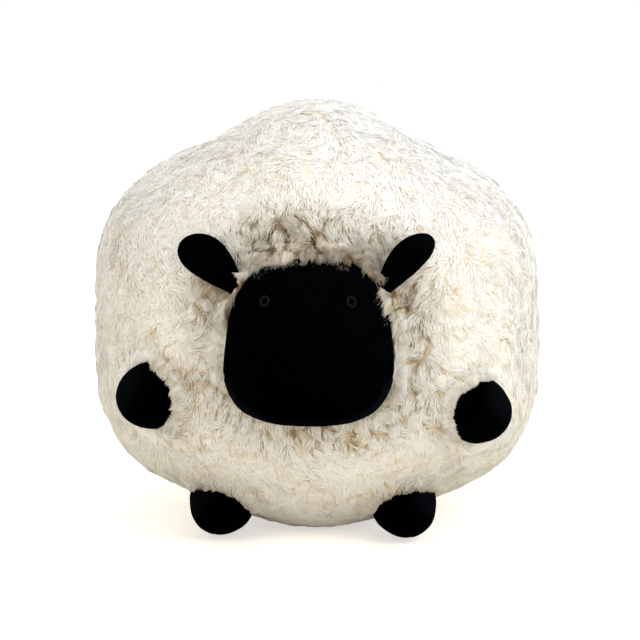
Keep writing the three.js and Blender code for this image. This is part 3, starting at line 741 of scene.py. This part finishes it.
def strand_object(name, root, knee, tip, normal, tone, shade, wild):
    """Closed strands with one bend, three-sided and pointed at both ends."""
    n = len(root)
    along = unit(unit(knee - root) + unit(tip - knee))
    side = unit(np.cross(along, normal))
    lift = np.cross(side, along)
    half = (STRAND_HALF_W - STRAND_HALF_W_LESS * wild + 0.1 * RNG.random(n))[:, None]
    spokes = [side * math.cos(math.radians(a)) + lift * math.sin(math.radians(a)) for a in (90, 330, 210)]
    flat = [spoke - lift * (0.7 * np.sum(spoke * lift, axis=-1, keepdims=True)) for spoke in spokes]
    ring = [knee + spoke * half for spoke in flat]
    verts = np.stack([root, *ring, tip], axis=1).reshape(-1, 3)
    base = np.arange(n)[:, None] * 5
    pattern = np.array([0, 2, 1, 0, 3, 2, 0, 1, 3, 1, 2, 4, 2, 3, 4, 3, 1, 4])
    faces = (base + pattern).ravel()
    obj = mesh_object(name, verts, faces, np.full(n * 6, 3))
    # painted shade along each strand: darker and more tan at its root, a little lighter at its tip
    hue = np.stack([tone - 0.28 - 0.08 * wild] + [tone - 0.03] * 3 + [tone + 0.03], axis=1).ravel()
    point_attribute(obj, "tone", np.clip(hue, 0.05, 1))
    depth = np.stack([shade - 0.04 - 0.24 * wild] + [shade - 0.02 * wild] * 3 + [shade + 0.04 * wild], axis=1)
    point_attribute(obj, "shade", np.clip(depth.ravel(), 0, 1))
    lean = (0.15 + 0.38 * wild)[:, None]
    leans = [normal] + [unit(normal + lean * spoke) for spoke in spokes] + [unit(normal + 0.5 * lean * along)]
    obj.data.normals_split_custom_set_from_vertices(np.stack(leans, axis=1).reshape(-1, 3).tolist())

    # each strand has a cell of its own in the OFBake UV map
    per_row = math.ceil(math.sqrt(n))
    cell = 1.0 / per_row
    cx = (np.arange(n) % per_row + 0.5) * cell
    cy = (np.arange(n) // per_row) * cell
    height = np.array([0.12, 0.5, 0.5, 0.5, 0.88]) * cell
    wide = np.array([0.0, -0.3, 0.0, 0.3, 0.0]) * cell
    u = (cx[:, None] + wide[pattern]).ravel()
    v = (cy[:, None] + height[pattern]).ravel()
    layer = obj.data.uv_layers.new(name="OFBake")
    layer.data.foreach_set("uv", np.stack([u, v], axis=1).astype(np.float32).ravel())
    obj.data.materials.append(FLEECE)
    return obj


def make_fleece():
    """The pile, in a front, a side and a back piece for each gore."""
    theta, *strands = make_strands()
    degrees = np.degrees(theta)
    for g, name in enumerate(GORE_NAMES):
        start, end = GORE_SEAMS[g], GORE_SEAMS[(g + 1) % 6]
        mine = (degrees - start) % 360 < (end - start) % 360
        front, back = strands[0][:, 1] < -SIDE_PIECES, strands[0][:, 1] >= SIDE_PIECES
        for part, chosen in (("front", front), ("side", ~front & ~back), ("back", back)):
            chosen = chosen & mine
            obj = strand_object(f"{name}_pile_{part}", *(v[chosen] for v in strands))
            if part == "front":
                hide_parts(name)
            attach(obj, "body")


def make_backing():
    """The lumpy undercoat that the strands stand on."""
    rows, columns = 250, 360
    phi = np.concatenate([[0.02], np.linspace(0.1, math.pi - 0.02, rows - 1)])
    th, ph = np.meshgrid(turns(columns), phi, indexing="xy")
    th, ph = th.ravel(), ph.ravel()
    outer = body_point(th, ph, 0.0)
    normal = body_normal(th, ph)
    gap, _, _, drawn, above = zones(outer)
    lock = locks_at(outer, drawn)
    part = crevice(outer, lock, drawn)
    swell = lip(outer, normal)
    wild = np.maximum(drawn, np.clip(swell / 8, 0, 1))
    raise_ = (0.45 + 0.9 * drawn) * 1.2 * lock["mound"] + lumps(outer) - 1.2 * part
    inset = (PILE_DEPTH + PILE_DEPTH_MORE * wild) * (0.68 + 0.34 * wild) - raise_ * 0.8 - swell * 0.9
    points = outer - normal * inset[:, None]
    hole = (outer[:, 1] < FRONT_SIDE) & (gap < 0)
    points[hole] -= normal[hole] * np.minimum(-gap[hole], 10.0)[:, None]
    points[:, 2] = np.maximum(points[:, 2], 0.3)
    obj = ball_object("fleece_backing", points, rows, columns)
    # painted shade: the undercoat darker where locks part, where the pile is drawn in or rises at a rim, and
    # above the head
    tone = np.clip(0.7 - 0.5 * part - 0.15 * wild - 0.2 * above, 0.1, 1)
    point_attribute(obj, "tone", np.concatenate([tone, [0.5, 0.5]]))
    obj.data.materials.append(BACKING)
    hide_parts("body_filling")
    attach(obj, "body")


# Head and eyes, with what all velvet pieces share
def velvet(obj, painted_sheen, nodes, body):
    """Velvet with a painted sheen, lighter where a function of its points says so, with what it is in the
    frame.
    """
    places = np.empty(len(obj.data.vertices) * 3, dtype=np.float32)
    obj.data.vertices.foreach_get("co", places)
    point_attribute(obj, "painted_sheen", np.clip(painted_sheen(places.reshape(-1, 3) / MM), 0, 1))
    obj.data.materials.append(VELVET)
    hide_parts(*nodes)
    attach(obj, body)


def face_painted_sheen(points):
    """Painted sheen, lighter towards the upper right, and a little at the lower left."""
    x, dz = points[:, 0], points[:, 2] - HEAD_MIDDLE
    return 0.01 + 0.075 * smooth(-45, 60, dz + 0.7 * x) + 0.03 * smooth(30, 75, -x) * smooth(20, -40, dz)


def chin_painted_sheen(points):
    """Painted sheen, lighter low down and towards the corners."""
    x, dz = np.abs(points[:, 0]), points[:, 2] - HEAD_MIDDLE
    return 0.08 + (0.12 + 0.2 * smooth(15, 55, x)) * smooth(-26, -46, dz)


def fix_normals(obj):
    """Turns all faces outward."""
    bm = bmesh.new()
    bm.from_mesh(obj.data)
    bmesh.ops.recalc_face_normals(bm, faces=bm.faces)
    bm.to_mesh(obj.data)
    bm.free()


def head_surface(angle, share, back):
    """A point of the head: angle round it, share of its outline, and how far back along its side."""
    cosine, sine = np.cos(angle), np.sin(angle)
    power = 2 / HEAD_SQUARE
    z = HEAD_HALF_H * share * np.sign(sine) * np.abs(sine) ** power
    x = HEAD_HALF_W * (1 - HEAD_TAPER * z / HEAD_HALF_H) * share * np.sign(cosine) * np.abs(cosine) ** power
    return np.stack([x, -head_rim(z) - head_dome(share) + back, HEAD_MIDDLE + z], axis=-1)


def make_head():
    """The face and the chin gusset, two velvet panels that meet in a sunk seam."""
    columns = 240
    angle = turns(columns) + math.pi / columns
    shares = np.concatenate([
        np.linspace(0.02, 0.80, 26), np.linspace(0.82, 0.92, 9), [0.928, CHIN_SEAM, 0.942],
        1 - (np.linspace(0.05, 0.0, 9)[:-1] ** 1.4) / (0.05 ** 0.4), [1.0],
    ])
    shares = np.unique(np.round(shares, 6))
    backs = np.array([2.0, 5.0, 9.0, 14.0, 20.0, 28.0, 40.0])
    rows = len(shares) + len(backs)
    seam_row = int(np.argmin(np.abs(shares - CHIN_SEAM)))
    share = np.repeat(np.concatenate([shares, np.ones(len(backs))]), columns)
    back = np.repeat(np.concatenate([np.zeros(len(shares)), backs]), columns)
    points = head_surface(np.tile(angle, rows), share, back)

    # the ends of the chin seam, as two columns of the grid
    edge = head_surface(angle, CHIN_SEAM, 0.0)
    first, last = np.where(edge[:, 2] - HEAD_MIDDLE < CHIN_SEAM_TOP)[0][[0, -1]]

    grid = points.reshape(rows, columns, 3)
    normal = np.cross(np.roll(grid, -1, axis=1) - np.roll(grid, 1, axis=1), np.gradient(grid, axis=0))
    normal = unit(normal).reshape(-1, 3)
    centre = np.array([0, -150.0, HEAD_MIDDLE])
    normal = np.where(np.sum(normal * (points - centre), axis=-1, keepdims=True) < 0, -normal, normal)

    # distance from the seam
    column = np.tile(np.arange(columns), rows)
    row = np.repeat(np.arange(rows), columns)
    ring_far = np.linalg.norm(points - grid[seam_row][column], axis=-1)
    seam_far = np.where((column >= first) & (column <= last), ring_far, 1e9)
    for end in (first, last):
        line_far = np.linalg.norm(points - grid[row, end], axis=-1)
        seam_far = np.where(row >= seam_row, np.minimum(seam_far, line_far), seam_far)
        seam_far = np.minimum(seam_far, np.linalg.norm(points - grid[seam_row, end], axis=-1))
    pucker = 1 + 0.25 * np.sin(column * 2 * math.pi / 5)
    side_wall = smooth(0.97, 1.0, share)
    groove = 1.9 * np.exp(-(seam_far / 1.7) ** 2) * pucker * (1 - 0.75 * side_wall)
    puff = 0.9 * np.exp(-((seam_far - 5.0) / 3.5) ** 2) * (1 - 0.6 * side_wall)
    soft = 0.8 * noise(points, 34.0, 71) + 0.25 * noise(points, 12.0, 72)
    points = points + normal * (puff - groove + soft)[:, None]

    quads = grid_faces(rows, columns)
    row, column = row[:-columns], column[:-columns]
    chin = (row >= seam_row) & (column >= first) & (column < last)
    cap = fan(len(points), np.arange(columns))
    points = np.concatenate([points, points[:columns].mean(axis=0)[None]])
    for name, chosen, fans, painted_sheen, nodes in (
        ("head_face_velvet", ~chin, cap, face_painted_sheen, ("head_face_panel", "head_filling")),
        ("head_chin_velvet", chin, cap[:0], chin_painted_sheen, ("head_chin_panel",)),
    ):
        faces = np.concatenate([quads[chosen].ravel(), fans.ravel()])
        sizes = np.repeat([4, 3], [int(chosen.sum()), len(fans)])
        used = np.unique(faces)
        remap = np.zeros(len(points), dtype=np.int64)
        remap[used] = np.arange(len(used))
        obj = mesh_object(name, points[used], remap[faces], sizes)
        fix_normals(obj)
        solid = obj.modifiers.new("thickness", "SOLIDIFY")
        solid.thickness = VELVET_THICK * MM
        solid.offset = -1.0
        velvet(obj, painted_sheen, nodes, "body")


def face_place(x, z):
    """Point of the face and its outward direction, from the head's middle."""
    def at(px, pz):
        share = math.hypot(px, pz) / float(head_reach(px, pz))
        return np.array([px, -head_rim(pz) - head_dome(share), HEAD_MIDDLE + pz])
    across = at(x + 1, z) - at(x - 1, z)
    up = at(x, z + 1) - at(x, z - 1)
    normal = unit(np.cross(across, up))
    return at(x, z), normal if normal[1] < 0 else -normal


def make_eye(side, name):
    """A leaning oval ring of twisted thread, stitched on the face."""
    point, normal = face_place(side * EYE_ACROSS, EYE_UP)
    left = unit(np.cross(normal, UP))
    up = np.cross(left, normal)
    lean = math.radians(EYE_LEAN) * side
    axis_a = left * math.cos(lean) - up * math.sin(lean)
    axis_b = up * math.cos(lean) + left * math.sin(lean)
    around, across = 288, 12
    tt, kk = np.meshgrid(turns(around), turns(across), indexing="ij")
    thread = EYE_THREAD * (1 + 0.13 * np.abs(np.sin(tt * 20)))
    out = thread * np.cos(kk)
    lift = 0.75 * thread * np.sin(kk) + 0.25
    p = (point + axis_a * ((EYE_HALF_W + out) * np.cos(tt))[..., None]
         + axis_b * ((EYE_HALF_H + out) * np.sin(tt))[..., None] + normal * lift[..., None])
    r, c = np.meshgrid(np.arange(around) * across, np.arange(across), indexing="ij")
    after, beside = np.roll(r, -1, axis=0), np.roll(c, -1, axis=1)
    quads = np.stack([r + c, after + c, after + beside, r + beside], -1)
    obj = mesh_object(f"{name}_satin", p.reshape(-1, 3), quads.reshape(-1), np.full(around * across, 4))
    fix_normals(obj)
    obj.data.materials.append(THREAD)
    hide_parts(f"{name}_stitching")
    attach(obj, "body")


# Ears
def make_ear_layer(name, layer):
    """One velvet layer of an ear: a puffed leaf with a rolled root."""
    length, width, front = EAR_AXES[name]
    rows, columns = 56, 41
    eased = np.sin(np.linspace(0, 1, rows) * math.pi / 2)
    along = -EAR_ROOT_THICK + (EAR_LENGTH * 0.999 + EAR_ROOT_THICK) * eased
    share = along / EAR_LENGTH
    half = ear_half_width(share)
    swell = EAR_ROOT_THICK + EAR_PUFF * np.sin(np.clip(share, 0, 1) * math.pi)
    high = np.where(along < 0, np.sqrt(np.maximum(EAR_ROOT_THICK ** 2 - along ** 2, 0)),
                    swell * np.sqrt(np.maximum(1 - np.clip(share, 0, 1) ** 3, 0)))
    turn = (np.linspace(0, 1, columns) - 0.5) * math.pi
    across = ear_bow(name, share)[:, None] + half[:, None] * np.sin(turn)
    lift = EAR_RIM + np.maximum(high - EAR_RIM, 0)[:, None] * np.maximum(np.cos(turn), 0) ** 0.75
    sign = 1.0 if layer == "front" else -1.0
    base = EARS[name] + along[:, None, None] * length + across[..., None] * width
    outer = base + (sign * lift)[..., None] * front
    inner = base + sign * 0.1 * front
    crease = 0.5 * noise(outer.reshape(-1, 3), 14.0, 81).reshape(rows, columns)
    outer = outer + (sign * crease * np.maximum(np.cos(turn), 0))[..., None] * front
    verts = np.concatenate([outer.reshape(-1, 3), inner.reshape(-1, 3)])
    top = grid_faces(rows, columns, wrap=False)
    low = top[:, ::-1] + rows * columns
    place = np.arange(rows * columns).reshape(rows, columns)
    edge = np.concatenate([place[:-1, 0], place[-1, :-1], place[:0:-1, -1], place[0, :0:-1]])
    after = np.roll(edge, -1)
    rim = np.stack([edge, edge + rows * columns, after + rows * columns, after], axis=-1)
    quads = np.concatenate([top, low, rim])
    obj = mesh_object(f"{name}_{layer}_velvet", verts, quads.ravel(), np.full(len(quads), 4))
    fix_normals(obj)

    # painted highlight: lighter towards the right ear's tip and towards each ear's lower edge
    def painted_sheen(points):
        along, down, _ = ear_frame(name, points)
        return 0.02 + 0.1 * (1 + EAR_SIDE[name]) * smooth(40, 62, along) + 0.05 * smooth(6, 18, down)

    velvet(obj, painted_sheen, (f"{name}_{layer}_layer",), name)


# Paws
def make_paw(name):
    """A velvet ball with a blunt tip and one seam round it."""
    middle, tip = PAWS[name], unit(np.array(PAW_TIPS[name]))
    hinge = unit(np.cross(tip, UP))
    third = np.cross(hinge, tip)
    rows, columns = 72, 96
    angle = np.linspace(0.02, math.pi - 0.02, rows)
    aa, tt = np.meshgrid(angle, turns(columns), indexing="ij")
    share = np.minimum(1, aa / math.radians(60))
    reach = PAW_RADIUS + PAW_NOSE * np.maximum(np.cos(share * math.pi / 2), 0) ** 1.3
    direction = (tip * np.cos(aa)[..., None] + hinge * (np.sin(aa) * np.cos(tt))[..., None]
                 + third * (np.sin(aa) * np.sin(tt))[..., None])
    flat = direction.reshape(-1, 3)
    ball = flat * PAW_RADIUS + middle
    bumps = 0.5 * noise(ball, 17.0, 91) + 0.2 * noise(ball, 7.0, 92)
    seam_far = np.abs(tt.ravel() % math.pi - math.pi / 2) * PAW_RADIUS * np.sin(aa.ravel())
    groove = 0.9 * np.exp(-(seam_far / 1.3) ** 2) * smooth(0.15, 0.4, aa.ravel())
    verts = middle + flat * (reach.ravel() + bumps - groove - 0.3)[:, None]
    verts[:, 2] = np.maximum(verts[:, 2], 0.5)
    obj = ball_object(f"{name}_velvet", verts, rows, columns)
    fix_normals(obj)
    # painted sheen: lighter on the side of each paw that faces out, forward and up, where the light falls
    lit = unit(np.array([math.copysign(0.85, middle[0]), -0.35, 0.35]))

    def painted_sheen(points):
        return 0.015 + 0.3 * smooth(0.55, 1.0, unit(points - middle) @ lit)

    velvet(obj, painted_sheen, (f"{name}_cover", f"{name}_filling"), name)


make_backing()
make_fleece()
make_head()
make_eye(-1, "eye_left")
make_eye(1, "eye_right")
for ear in EARS:
    make_ear_layer(ear, "front")
    make_ear_layer(ear, "back")
for paw in PAWS:
    make_paw(paw)


# Floor, light and camera
def background_rays(tree):
    """1 for the camera's rays and for those that metal or glass send on, 0 for light on the object."""
    path = tree.nodes.new("ShaderNodeLightPath")
    found = path.outputs["Is Camera Ray"]
    for kind in ("Is Glossy Ray", "Is Transmission Ray"):
        most = tree.nodes.new("ShaderNodeMath")
        most.operation = "MAXIMUM"
        tree.links.new(found, most.inputs[0])
        tree.links.new(path.outputs[kind], most.inputs[1])
        found = most.outputs[0]
    return found


def make_floor():
    """A pale floor that keeps the object's shadow and whitens away from it."""
    size = 6.0
    mesh = bpy.data.meshes.new("studio_floor")
    corners = [(-size, -size, 0), (size, -size, 0), (size, size, 0), (-size, size, 0)]
    mesh.from_pydata(corners, [], [(0, 1, 2, 3)])
    floor = placed("studio_floor", mesh)
    m = Nodes("studio_floor")
    m.tree.nodes.remove(m.shader)
    diffuse = m.add("ShaderNodeBsdfDiffuse", Color=(0.84, 0.78, 0.66, 1))
    glow = m.add("ShaderNodeEmission", Color=(1, 1, 1, 1))
    where = m.add("ShaderNodeTexCoord").outputs["Object"]
    far = m.add("ShaderNodeVectorMath", operation="LENGTH")
    m.link(where, far.inputs[0])
    level = m.add("ShaderNodeMapRange", **{"From Min": 0.25, "From Max": 0.9, "To Min": 0.55, "To Max": 1.0})
    m.link(far.outputs["Value"], level.inputs["Value"])
    strength = m.add("ShaderNodeMath", operation="MULTIPLY")
    m.link(level.outputs["Result"], strength.inputs[1])
    m.link(background_rays(m.tree), strength.inputs[0])
    m.link(strength.outputs[0], glow.inputs["Strength"])
    both = m.add("ShaderNodeAddShader")
    m.link(diffuse.outputs[0], both.inputs[0])
    m.link(glow.outputs[0], both.inputs[1])
    m.link(both.outputs[0], m.out.inputs["Surface"])
    mesh.materials.append(m.material)


def make_world():
    """A soft warm fill on the object, and plain white behind it."""
    world = bpy.data.worlds.new("studio")
    bpy.context.scene.world = world
    world.use_nodes = True
    tree = world.node_tree
    tree.nodes.clear()
    out = tree.nodes.new("ShaderNodeOutputWorld")
    mix = tree.nodes.new("ShaderNodeMixShader")
    tree.links.new(background_rays(tree), mix.inputs["Fac"])
    tree.links.new(mix.outputs[0], out.inputs["Surface"])
    for socket, colour, strength in ((1, (1.0, 0.955, 0.875, 1), 0.71), (2, (1, 1, 1, 1), 1.0)):
        shown = tree.nodes.new("ShaderNodeBackground")
        shown.inputs["Color"].default_value = colour
        shown.inputs["Strength"].default_value = strength
        tree.links.new(shown.outputs[0], mix.inputs[socket])


def area_light(name, place, aim, size, power, colour):
    """A round soft lamp: where it is and points, its width in metres and its power in watts."""
    data = bpy.data.lights.new(name, "AREA")
    data.shape = "DISK"
    data.size = size
    data.energy = power
    data.color = colour
    lamp = placed(name, data)
    lamp.location = place
    lamp.rotation_euler = (Vector(aim) - Vector(place)).to_track_quat("-Z", "Y").to_euler()


def make_camera():
    """A long lens a little above and to the right of the front, as in the photograph."""
    azimuth, elevation, distance = math.radians(2.2), math.radians(8.6), 2.4
    toward = Vector((math.sin(azimuth) * math.cos(elevation), -math.cos(azimuth) * math.cos(elevation),
                     math.sin(elevation)))
    right = Vector((math.cos(azimuth), math.sin(azimuth), 0))
    up = toward.cross(right)
    aim = Vector((0, 0, BODY_MIDDLE * MM)) + right * 0.0025 - up * 0.003
    data = bpy.data.cameras.new("camera")
    data.lens = 135
    data.sensor_width = 36
    data.clip_start = 0.05
    data.clip_end = 50
    camera = placed("camera", data)
    camera.location = aim + toward * distance
    camera.rotation_euler = (-toward).to_track_quat("-Z", "Y").to_euler()
    bpy.context.scene.camera = camera


make_floor()
make_world()
area_light("key", (1.9, -1.1, 1.7), (0, 0, 0.2), 2.2, 40, (0.88, 0.95, 1.0))
area_light("top", (0.1, -0.3, 2.4), (0, 0, 0.2), 2.2, 11, (0.88, 0.94, 1.0))
area_light("back", (-1.3, 1.1, 1.9), (0, 0, 0.2), 2.2, 9, (0.90, 0.95, 1.0))
area_light("fill", (-1.9, -1.7, 0.8), (0, 0, 0.2), 2.0, 11, (1.0, 0.97, 0.92))
area_light("low", (0.3, -2.2, 0.35), (0, 0, 0.15), 1.6, 8.5, (1.0, 0.92, 0.78))
make_camera()
bpy.context.scene.view_settings.view_transform = "Standard"
